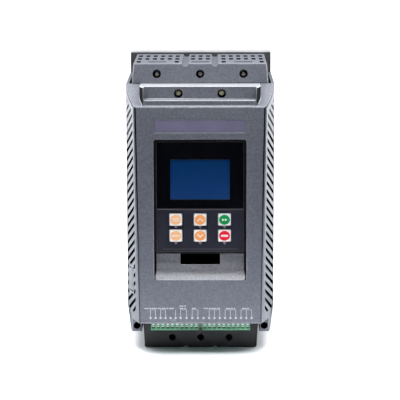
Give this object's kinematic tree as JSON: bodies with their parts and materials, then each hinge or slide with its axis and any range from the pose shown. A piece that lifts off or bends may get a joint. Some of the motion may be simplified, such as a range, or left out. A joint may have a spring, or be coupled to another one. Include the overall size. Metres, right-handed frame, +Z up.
{
  "type": "soft starter",
  "caption": "Upright grey motor soft starter with louvred flared sides, a sunk display and key panel that pulls out, control terminals and vented covers over its power terminals.",
  "frame": {"origin": "middle of the outer box, on its bottom plane", "axes": "+Z up, -Y out of the front face, +Y towards the wall it is fixed to, +X to the right as seen from the front"},
  "size_m": [0.157, 0.187, 0.309],
  "materials": {
    "grey_plastic": "fine textured moulding",
    "black_plastic": "fine textured moulding",
    "dark_steel": "satin powder coat",
    "aluminium": "extruded, plain",
    "copper": "rolled",
    "zinc_steel": "bright zinc",
    "yellow_zinc": "yellow zinc",
    "circuit_board": "solder mask",
    "green_plastic": "moulded",
    "inner_black": "moulded",
    "blue_plastic": "moulded",
    "nylon": "moulded",
    "plate_film": "printed film, left bare",
    "window_black": "polished",
    "screen_blue": "display behind a clear pane",
    "panel_navy": "satin film",
    "key_white": "moulded"
  },
  "bodies": {
    "enclosure": {"rear_housing": "grey_plastic", "front_cover": "grey_plastic", "input_cover": "grey_plastic", "port_cover": "grey_plastic", "output_cover": "black_plastic", "mounting_tray": "dark_steel", "heat_sink": "aluminium", "input_bar_left": "copper", "input_bar_middle": "copper", "input_bar_right": "copper", "output_bar_left": "copper", "output_bar_middle": "copper", "output_bar_right": "copper", "sink_screws": "zinc_steel", "board_screws": "zinc_steel", "module_screws": "zinc_steel", "terminal_screws": "zinc_steel", "input_screws": "zinc_steel", "output_screws": "zinc_steel", "cover_screws": "yellow_zinc", "control_board": "circuit_board", "terminal_left": "green_plastic", "terminal_right": "green_plastic", "keypad_socket": "inner_black", "supply_transformer": "inner_black", "thyristor_left": "inner_black", "thyristor_middle": "inner_black", "thyristor_right": "inner_black", "bypass_contactor": "inner_black", "input_base": "inner_black", "output_base": "inner_black", "signal_relays": "blue_plastic", "sensor_left": "blue_plastic", "sensor_middle": "blue_plastic", "sensor_right": "blue_plastic", "board_standoffs": "nylon", "name_plate": "plate_film"},
    "keypad": {"keypad_case": "black_plastic", "keypad_window": "window_black", "lcd_module": "screen_blue", "key_panel": "panel_navy", "keypad_board": "circuit_board", "key_switches": "inner_black", "keypad_plug": "inner_black"},
    "menu_key": {"key_menu": "key_white"},
    "up_key": {"key_up": "key_white"},
    "run_key": {"key_run": "key_white"},
    "enter_key": {"key_enter": "key_white"},
    "down_key": {"key_down": "key_white"},
    "stop_key": {"key_stop": "key_white"}
  },
  "joints": [
    {"name": "keypad_pull", "type": "slide", "parent": "enclosure", "child": "keypad", "axis": [0, -1, 0], "range_m": [0, 0.03]},
    {"name": "menu_press", "type": "slide", "parent": "keypad", "child": "menu_key", "axis": [0, 1, 0], "range_m": [0, 0.0008], "stiffness_N_per_m": 900, "springref_m": -0.001},
    {"name": "up_press", "type": "slide", "parent": "keypad", "child": "up_key", "axis": [0, 1, 0], "range_m": [0, 0.0008], "stiffness_N_per_m": 900, "springref_m": -0.001},
    {"name": "run_press", "type": "slide", "parent": "keypad", "child": "run_key", "axis": [0, 1, 0], "range_m": [0, 0.0008], "stiffness_N_per_m": 900, "springref_m": -0.001},
    {"name": "enter_press", "type": "slide", "parent": "keypad", "child": "enter_key", "axis": [0, 1, 0], "range_m": [0, 0.0008], "stiffness_N_per_m": 900, "springref_m": -0.001},
    {"name": "down_press", "type": "slide", "parent": "keypad", "child": "down_key", "axis": [0, 1, 0], "range_m": [0, 0.0008], "stiffness_N_per_m": 900, "springref_m": -0.001},
    {"name": "stop_press", "type": "slide", "parent": "keypad", "child": "stop_key", "axis": [0, 1, 0], "range_m": [0, 0.0008], "stiffness_N_per_m": 900, "springref_m": -0.001}
  ]
}
